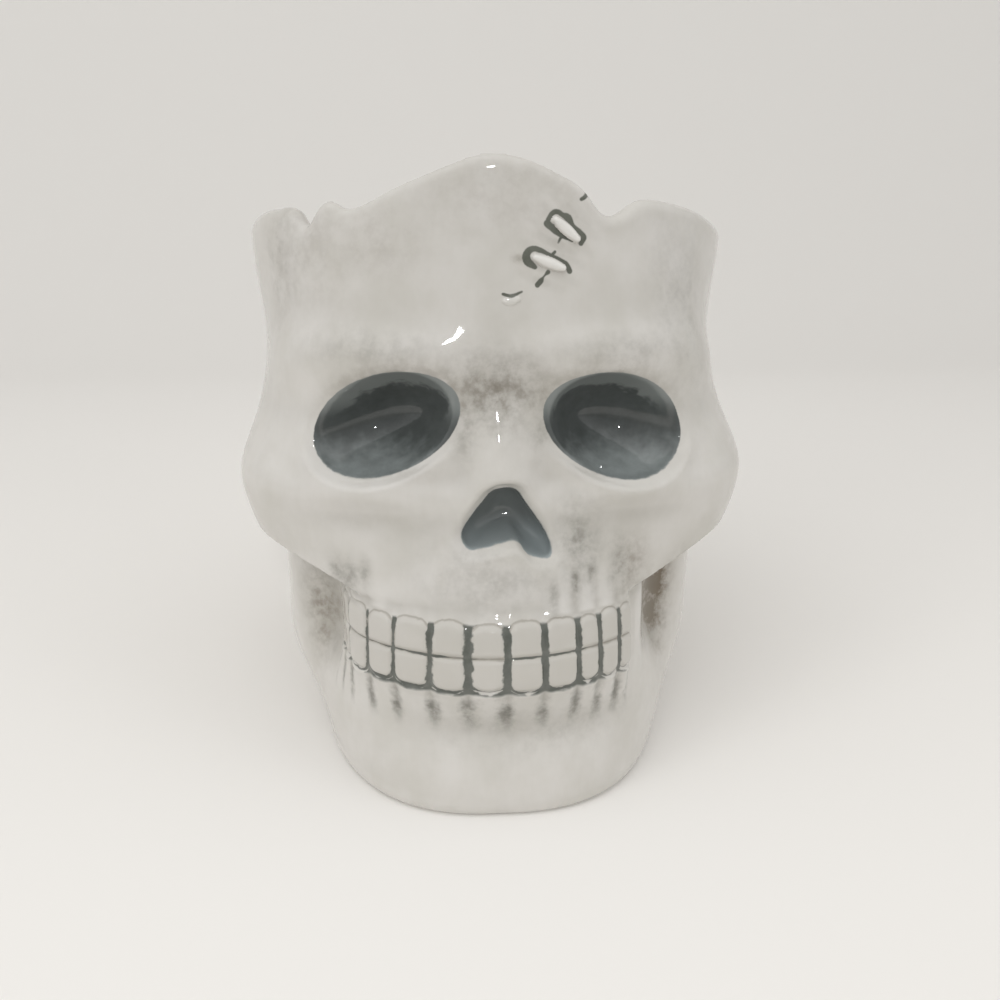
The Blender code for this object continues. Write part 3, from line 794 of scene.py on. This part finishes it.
def near_teeth(points):
    angles, reach, heights = polar(points)
    above = heights - BITE_HEIGHT
    margin_above, margin_below = TEETH_MARGINS
    level = (above < UPPER_TOOTH + margin_above) & (above > -LOWER_TOOTH - margin_below)
    return level & (teeth_ends(angles) > 0) & is_outside(points)


def near_scar(points):
    stations = [station for stroke in INK_STROKES for station in stroke]
    apart = [abs(points[:, 0] - x * MM) + abs(points[:, 2] - z * MM) for x, z, wide in stations]
    return (np.min(apart, axis=0) < SCAR_MARGIN) & is_outside(points) & (points[:, 1] < 0)


def thin_out(piece, kept):
    """Takes triangles away where the skin is plain: inside, below and behind."""
    points = points_of(piece)
    angles, reach, heights = polar(points)
    front = is_outside(points) & (np.abs(np.degrees(angles)) < FACE_ANGLE)
    plain = piece.vertex_groups.new(name="plain")
    plain.add([int(i) for i in np.flatnonzero(~front)], 1.0, "REPLACE")
    triangles = sum(len(face.vertices) - 2 for face in piece.data.polygons)
    apply(piece, "fewer_faces", "DECIMATE", ratio=kept / triangles, vertex_group="plain")
    piece.vertex_groups.clear()


def store(piece, name, values):
    """Keeps one number a point on the mesh for the material to read."""
    kept = piece.data.attributes.new(name, "FLOAT", "POINT")
    kept.data.foreach_set("value", np.asarray(values, np.float32))


def stroke_gap(across, upright, stroke):
    """Distance out of a brush stroke, in millimetres."""
    gap = np.full(np.shape(across), np.inf)
    steps = np.linspace(0, len(stroke) - 1, 4 * len(stroke) - 3)
    smooth = list(zip(*(along(steps, enumerate(values)) for values in zip(*stroke))))
    for (x0, z0, w0), (x1, z1, w1) in zip(smooth, smooth[1:]):
        run, climb = x1 - x0, z1 - z0
        share = ((across - x0) * run + (upright - z0) * climb) / (run**2 + climb**2)
        share = np.clip(share, 0, 1)
        apart = np.hypot(across - x0 - share * run, upright - z0 - share * climb)
        gap = np.minimum(gap, apart - w0 - share * (w1 - w0))
    return gap


# Strength of the patches of brushed wash and painted shade at each point.
def patch_strength(angles, heights, patches):
    strength = np.zeros(np.shape(angles))
    for angle, height, wide, tall, strong in patches:
        apart = np.hypot((np.degrees(angles) - angle) / wide, (heights - height) / tall)
        strength = np.maximum(strength, strong * fade(apart))
    return strength


def store_marks(piece, pockets):
    """Keeps on the mesh where the paint lies, as distances in millimetres."""
    points = points_of(piece)
    angles, reach, heights = polar(points)
    place = tooth_place(angles)
    widths = np.array(LEFT_TEETH + RIGHT_TEETH)
    index = np.clip(np.floor(place).astype(int) + len(LEFT_TEETH), 0, len(widths) - 1)
    outside = is_outside(points)
    front = outside & (np.cos(angles) > 0)
    store(piece, "tooth_place", place)
    store(piece, "groove_gap", np.abs(place - np.round(place)) * widths[index] / MM)
    store(piece, "above_bite", (heights - BITE_HEIGHT) / MM)
    store(piece, "tooth_gap", np.where(front, tooth_gap(angles, heights) / MM, FAR))
    store(piece, "bite_wide", np.interp(place, *zip(*BITE_LINE)))
    store(piece, "foot_wide", np.interp(place, *zip(*FOOT_LINE)))
    store(piece, "in_rows", np.where(front, teeth_ends(angles), 0))
    for pocket in pockets:
        gap, past = pocket.gap(points)
        in_bowl = (np.cos(angles) > 0) & (past < POCKET_SKIN)
        store(piece, pocket.name, np.where(in_bowl, gap / MM, FAR))
    ink = np.min([stroke_gap(points[:, 0] / MM, points[:, 2] / MM, s) for s in INK_STROKES], axis=0)
    stitch = stitch_rise(angles, heights)
    store(piece, "ink_gap", np.where(front, ink + INK_CLEAR * (stitch > STITCH_BARE), FAR))
    around = [outer_radius(angles + x / reach, heights + z) for x, z in CAVITY_STEPS]
    cavity = np.mean(around, axis=0) - outer_radius(angles, heights)
    store(piece, "cavity", np.where(outside, cavity / MM, 0))
    store(piece, "stitch", np.where(front, stitch / MM, 0))
    # Brushed washes, together with painted shade in the hollows.
    store(piece, "grey_wash_and_shade", patch_strength(angles, heights, GREY_WASHES_AND_SHADE) * outside)
    store(piece, "brown_wash_and_shade", patch_strength(angles, heights, BROWN_WASHES_AND_SHADE) * outside)
    store(piece, "outside", outside)


def in_frame(piece):
    """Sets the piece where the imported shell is."""
    points = points_of(piece)
    own = (points.min(0) + points.max(0)) / 2
    packed = (SHELL_LOW + SHELL_HIGH) / 2
    points[:, :2] += np.array(packed)[:2] - own[:2]
    set_points(piece, points)


def make_skull():
    pockets = face_pockets()
    skull = make_vessel(pockets)
    cut_face(skull, pockets)
    apply(skull, "even_skin", "REMESH", mode="VOXEL", voxel_size=VOXEL, use_smooth_shade=True)
    apply(skull, "soft_edges", "SMOOTH", factor=0.5, iterations=3)
    set_skin(skull, pockets)
    refine(skull, near_teeth)
    refine(skull, near_scar)
    refine(skull, near_scar)
    set_skin(skull, pockets)
    thin_out(skull, KEPT_TRIANGLES)
    store_marks(skull, pockets)
    in_frame(skull)
    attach(skull, "root")
    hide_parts("skull_shell")
    return skull


def colour(code):
    """A colour written as in a paint program, as the light values that a shader needs."""
    parts = [int(code[i : i + 2], 16) / 255 for i in (1, 3, 5)]
    return tuple(c / 12.92 if c <= 0.04045 else ((c + 0.055) / 1.055) ** 2.4 for c in parts) + (1,)


class Shader:
    """Adds nodes to one tree, with their settings, their values and what feeds them."""

    def __init__(self, tree):
        self.tree = tree

    def add(self, kind, inputs=(), output=0, **settings):
        made = self.tree.nodes.new("ShaderNode" + kind)
        for key, value in settings.items():
            setattr(made, key, value)
        for key, value in dict(inputs).items():
            if isinstance(value, bpy.types.NodeSocket):
                self.tree.links.new(value, made.inputs[key])
            else:
                made.inputs[key].default_value = value
        return made.outputs[output] if made.outputs else None

    def sum(self, operation, first, second=0.0, clamp=False):
        return self.add("Math", {0: first, 1: second}, operation=operation, use_clamp=clamp)

    def mark(self, name):
        return self.add("Attribute", output=2, attribute_name=name)

    def within(self, value, edge, soft):
        """1 below the edge and 0 above it, with a soft step."""
        inputs = {0: value, 1: edge - soft, 2: edge + soft, 3: 1.0, 4: 0.0}
        return self.add("MapRange", inputs, interpolation_type="SMOOTHSTEP")

    def noise(self, place, size, detail=3.0, rough=0.55):
        """Cloudy values between 0 and 1, with blots of about this size in millimetres."""
        inputs = {"Vector": place, "Scale": 1 / size, "Detail": detail, "Roughness": rough}
        return self.add("TexNoise", inputs)

    def product(self, *values):
        total = values[0]
        for value in values[1:]:
            total = self.sum("MULTIPLY", total, value)
        return total

    def total(self, *values):
        total = values[0]
        for value in values[1:]:
            total = self.sum("ADD", total, value)
        return total

    def inverse(self, value):
        return self.sum("SUBTRACT", 1.0, value)

    def blend(self, share, first, second):
        inputs = {0: share, 6: first, 7: second}
        return self.add("Mix", inputs, output=2, data_type="RGBA")


class Grounds:
    """What all the paint shares: the place in millimetres and the unevenness of a brush."""

    def __init__(self, make):
        here = make.add("TexCoord", output=3)
        self.mm = make.add("VectorMath", {0: here, 3: 1 / MM}, operation="SCALE")
        upright = make.add("Mapping", {0: self.mm, 3: (1, 1, STREAK_STRETCH)})
        self.height = make.add("SeparateXYZ", {0: self.mm}, output=2)
        self.wobble = make.noise(self.mm, 1.6)
        self.shake = make.sum("SUBTRACT", self.wobble, 0.5)
        self.clouds = make.noise(self.mm, 16, 4.0)
        self.streaks = make.noise(upright, 3.2, 4.0, 0.6)
        self.blots = make.noise(self.mm, 4.5, 4.0, 0.65)
        self.slow = make.sum("SUBTRACT", make.noise(self.mm, 3.4, 2.0), 0.5)
        self.edge_shift = make.total(make.product(self.shake, 0.9), make.product(self.slow, 1.1))


def clay_colour(make, grounds):
    """The cream clay seen through the glaze, a little uneven, and plain on the inside."""
    cloudy = make.within(grounds.clouds, 0.5, 0.22)
    body = make.blend(cloudy, colour("#D6D3CE"), colour("#CBC8C1"))
    streaky = make.product(make.within(grounds.streaks, 0.45, 0.2), 0.14)
    body = make.blend(streaky, body, colour("#C2BEB4"))
    return make.blend(make.inverse(make.mark("outside")), body, colour("#D8D5CF"))


def brushed_wash_and_shade(make, grounds, under, name, paint):
    """Thin colour that broke up into blots when it was wiped, and in places painted shade."""
    broken = make.product(make.within(grounds.blots, 0.52, 0.18), make.within(grounds.wobble, 0.62, 0.3))
    broken = make.total(make.product(broken, 0.85), 0.3)
    share = make.sum("MULTIPLY", make.mark(name), broken, clamp=True)
    return make.blend(share, under, colour(paint))


def hollow_wash_and_shade(make, grounds, body):
    """Darker in the hollows, as wash that settled there and as painted shade, and painted shade
    under the brow above the sockets.
    """
    hollow_darkening = make.product(make.mark("cavity"), make.total(grounds.blots, 0.4))
    hollow_darkening = make.product(make.inverse(make.within(hollow_darkening, 0.32, 0.4)), 0.38)
    body = make.blend(hollow_darkening, body, colour("#98948A"))
    pocket = make.sum("MINIMUM", make.mark("left_socket"), make.mark("right_socket"))
    # Painted shade under the brow, in a band above each socket.
    brow_shade = make.product(make.within(pocket, 2.6, 2.6), make.within(grounds.blots, 0.55, 0.3))
    brow_shade = make.product(brow_shade, make.inverse(make.within(grounds.height, 94.0, 6.0)), 0.5)
    return make.blend(brow_shade, body, colour("#8F887C"))


def groove_paint(make, grounds):
    """The painted grooves between the teeth, broadest at the middle of the mouth."""
    above = make.mark("above_bite")
    off_middle = make.sum("ABSOLUTE", make.sum("SUBTRACT", make.mark("tooth_place"), 1.0))
    corner = make.sum("SUBTRACT", make.sum("SUBTRACT", 1.25, make.mark("foot_wide")), make.mark("tooth_gap"))
    groove = make.sum("MINIMUM", make.mark("groove_gap"), corner)
    groove = make.total(groove, make.product(off_middle, 0.08), grounds.edge_shift)
    upper_end = make.within(make.total(above, grounds.slow), UPPER_TOOTH / MM - 1.0, 0.4)
    return make.product(make.within(groove, 0.82, 0.16), upper_end, lower_end(make, grounds))


def lower_end(make, grounds):
    """1 down to the foot of the lower teeth."""
    below = make.sum("SUBTRACT", grounds.slow, make.mark("above_bite"))
    return make.within(below, LOWER_TOOTH / MM + 0.3, 0.4)


def tooth_paint(make, grounds, body):
    """Grey lines in the grooves, between the rows and under them, and smudges by the roots."""
    above = make.mark("above_bite")
    rows = make.mark("in_rows")
    gap = make.mark("tooth_gap")
    shift = grounds.edge_shift
    bite_line = make.sum("ABSOLUTE", make.total(above, make.product(shift, 0.45)))
    bite = make.within(make.sum("SUBTRACT", bite_line, make.mark("bite_wide")), -0.06, 0.1)
    seam = make.product(make.within(make.sum("ABSOLUTE", above), 0.18, 0.14), rows)
    rim = make.sum("ABSOLUTE", make.total(gap, 0.1, make.product(shift, 0.6)))
    lower = make.within(above, -4.0, 0.5)
    foot_wide = make.product(make.mark("foot_wide"), make.total(grounds.wobble, 0.5))
    foot = make.within(make.sum("SUBTRACT", rim, foot_wide), 0.0, 0.15)
    foot = make.product(foot, lower, lower_end(make, grounds))
    arch = make.product(make.within(rim, 0.2, 0.16), make.within(lower, 0.5, 0.1), rows, 0.6)
    paint = make.sum("MAXIMUM", make.sum("MAXIMUM", groove_paint(make, grounds), bite), foot)
    by_roots = make.within(make.sum("ABSOLUTE", make.total(above, 13.8)), 3.8, 3.2)
    smudge = make.within(make.total(make.mark("groove_gap"), make.product(grounds.shake, 2.5)), 1.0, 1.2)
    smudge = make.product(smudge, by_roots, make.within(grounds.blots, 0.58, 0.2), rows, 0.95)
    body = make.blend(make.product(seam, 0.5), body, colour("#958F84"))
    body = make.blend(arch, body, colour("#958F84"))
    body = make.blend(smudge, body, colour("#6F6D65"))
    grey = make.blend(make.within(grounds.blots, 0.5, 0.2), colour("#595C56"), colour("#6B6D67"))
    return make.blend(make.product(paint, rows), body, grey)


def scar_paint(make, grounds, body):
    """Stitches painted lighter as a painted highlight, and the dark strokes round them."""
    # Painted highlight: the raised stitches are painted lighter than the skin round them.
    raised = make.sum("MULTIPLY", make.mark("stitch"), 0.6, clamp=True)
    body = make.blend(raised, body, colour("#E9E7E2"))
    ink = make.total(make.mark("ink_gap"), make.product(grounds.edge_shift, 0.35))
    dark = make.blend(make.within(grounds.blots, 0.5, 0.2), colour("#585A51"), colour("#6A6C63"))
    return make.blend(make.within(ink, 0.02, 0.16), body, dark)


def pocket_glaze_and_reflections(make, grounds, body):
    """Dark glaze in the sockets and the nose, with painted reflections: lighter towards the foot
    and in a band along each socket's upper rim.
    """
    pocket = make.sum("MINIMUM", make.mark("left_socket"), make.mark("right_socket"))
    deep = make.blend(make.within(grounds.blots, 0.5, 0.3), colour("#474B4A"), colour("#535756"))
    # Painted reflection: the glaze is painted lighter towards the foot of each socket.
    low = make.blend(make.within(grounds.blots, 0.5, 0.25), colour("#878D8C"), colour("#787E7D"))
    level = make.total(grounds.height, make.product(grounds.slow, 8.0))
    socket_glaze_and_reflections = make.blend(make.within(level, 82.5, 4.5), deep, low)
    # Painted reflection in a ragged band along each socket's upper rim.
    ragged = make.total(pocket, make.product(grounds.slow, 6.0))
    band = make.inverse(make.within(ragged, -3.2, 0.9))
    band = make.product(band, make.inverse(make.within(grounds.height, 92.0, 3.0)), 0.8)
    socket_glaze_and_reflections = make.blend(band, socket_glaze_and_reflections, colour("#868B89"))
    cup_edge = make.total(pocket, make.product(grounds.shake, 0.3))
    body = make.blend(make.within(cup_edge, 0.2, 0.15), body, socket_glaze_and_reflections)
    # Painted reflection: the nose's glaze is painted lighter towards its foot.
    hole = make.blend(make.within(grounds.height, 66.0, 4.0), colour("#7A7F7E"), colour("#959D9E"))
    hole_edge = make.total(make.mark("nose"), make.product(grounds.shake, 0.4))
    return make.blend(make.within(hole_edge, 0.2, 0.15), body, hole)


def glazed_earthenware():
    """Cream earthenware, brushed with grey and brown underglaze that was wiped off the high
    parts, under a thick clear glaze: soft colour below, sharp small lights on top. Painted shade
    darkens the hollows and the brow above the sockets, and the stitches carry a painted
    highlight. The sockets and the nose are filled with a dark blue-grey glaze, with painted
    reflections in them."""
    material = bpy.data.materials.new("glazed_earthenware")
    material.use_nodes = True
    material.node_tree.nodes.clear()
    make = Shader(material.node_tree)
    grounds = Grounds(make)
    body = clay_colour(make, grounds)
    body = brushed_wash_and_shade(make, grounds, body, "grey_wash_and_shade", "#827F77")
    body = brushed_wash_and_shade(make, grounds, body, "brown_wash_and_shade", "#6E614F")
    teeth = make.product(make.within(make.mark("tooth_gap"), -0.1, 0.3), make.mark("in_rows"), 0.5)
    body = make.blend(teeth, body, colour("#B9B5AD"))
    body = hollow_wash_and_shade(make, grounds, body)
    body = tooth_paint(make, grounds, body)
    body = scar_paint(make, grounds, body)
    body = pocket_glaze_and_reflections(make, grounds, body)
    peel = make.noise(grounds.mm, 5.0, 2.0, 0.5)
    bump = make.add("Bump", {"Strength": 0.35, "Distance": 0.12 * MM, "Height": peel})
    surface = {
        "Base Color": body,
        "Roughness": 0.4,
        "IOR": 1.5,
        "Specular IOR Level": 0.1,
        "Coat Weight": 1.0,
        "Coat Roughness": 0.035,
        "Coat IOR": 1.5,
        "Coat Normal": bump,
        "Normal": bump,
    }
    skin = make.add("BsdfPrincipled", surface)
    make.add("OutputMaterial", {0: skin})
    return material


def plain_paper():
    """Matt paper, pale round the skull, with painted shade on the near side, as at a table's edge."""
    material = bpy.data.materials.new("plain_paper")
    material.use_nodes = True
    material.node_tree.nodes.clear()
    make = Shader(material.node_tree)
    near = make.add("SeparateXYZ", {0: make.add("TexCoord", output=3)}, output=1)
    # Painted shade: darker on the near side of the table's edge.
    pale = make.add("MapRange", {0: near, 1: TABLE_EDGE, 2: TABLE_EDGE + TABLE_SOFT})
    tone = make.blend(pale, colour("#96938D"), colour("#EFECE7"))
    skin = make.add("BsdfPrincipled", {"Base Color": tone, "Roughness": 0.7})
    make.add("OutputMaterial", {0: skin})
    return material


def make_backdrop():
    """A pale floor that curves up behind."""
    deselect_all()
    bpy.ops.mesh.primitive_plane_add(size=SWEEP_WIDE)
    sweep = begin("backdrop")
    bpy.ops.object.mode_set(mode="EDIT")
    pick("edges", lambda edge: edge.verts[0].co.y > 0 and edge.verts[1].co.y > 0)
    bpy.ops.mesh.extrude_region_move(TRANSFORM_OT_translate={"value": (0, 0, SWEEP_WIDE / 2)})
    pick("verts", lambda vert: vert.co.z < SWEEP_WIDE / 4 and vert.co.y > 0)
    bpy.ops.mesh.bevel(offset=SWEEP_BEND, segments=24, affect="EDGES")
    bpy.ops.object.mode_set(mode="OBJECT")
    bpy.ops.object.shade_smooth()
    sweep.location = (0, SWEEP_BACK - SWEEP_WIDE / 2, 0)
    bpy.ops.object.transform_apply(location=True, rotation=True, scale=True)
    sweep.data.materials.append(plain_paper())


def make_lamp(name, place, size, power, mirrored):
    """A square white lamp that faces the skull, which the glaze mirrors or not."""
    light = bpy.data.lights.new(name, "AREA")
    light.size = size
    light.energy = power
    lamp = bpy.data.objects.new(name, light)
    lamp.location = place
    lamp.rotation_euler = (Vector(AIM) - lamp.location).to_track_quat("-Z", "Y").to_euler()
    lamp.visible_glossy = mirrored
    bpy.context.scene.collection.objects.link(lamp)


def make_room():
    """Soft daylight, brightest from above and dimmer from the side of the camera."""
    world = bpy.data.worlds.new("room")
    world.use_nodes = True
    world.node_tree.nodes.clear()
    make = Shader(world.node_tree)
    direction = make.add("TexCoord", output=0)
    skyward = make.add("SeparateXYZ", {0: direction}, output=2)
    aside = make.add("SeparateXYZ", {0: direction}, output=1)
    share = make.add("MapRange", {0: skyward, 1: -0.3, 2: 1.0, 3: GROUND_LIGHT, 4: SKY_LIGHT})
    dim = make.add("MapRange", {0: aside, 1: -1.0, 2: -0.4, 3: DIM_SIDE, 4: 1.0})
    light = make.add("Background", {0: colour("#FFFFFF"), 1: make.product(share, dim, DAYLIGHT)})
    make.add("OutputWorld", {0: light})
    bpy.context.scene.world = world


def make_camera():
    scene = bpy.context.scene
    lens = bpy.data.cameras.new("camera")
    lens.sensor_width = SENSOR
    lens.lens = LENS
    camera = bpy.data.objects.new("camera", lens)
    scene.collection.objects.link(camera)
    camera.location = CAMERA_PLACE
    camera.rotation_euler = (math.radians(90 - CAMERA_DIP), 0, math.radians(CAMERA_TURN))
    scene.camera = camera
    scene.view_settings.view_transform = "Standard"


skull = make_skull()
skull.data.materials.clear()
skull.data.materials.append(glazed_earthenware())
make_backdrop()
make_room()
for lamp in LAMPS:
    make_lamp(*lamp)
make_camera()
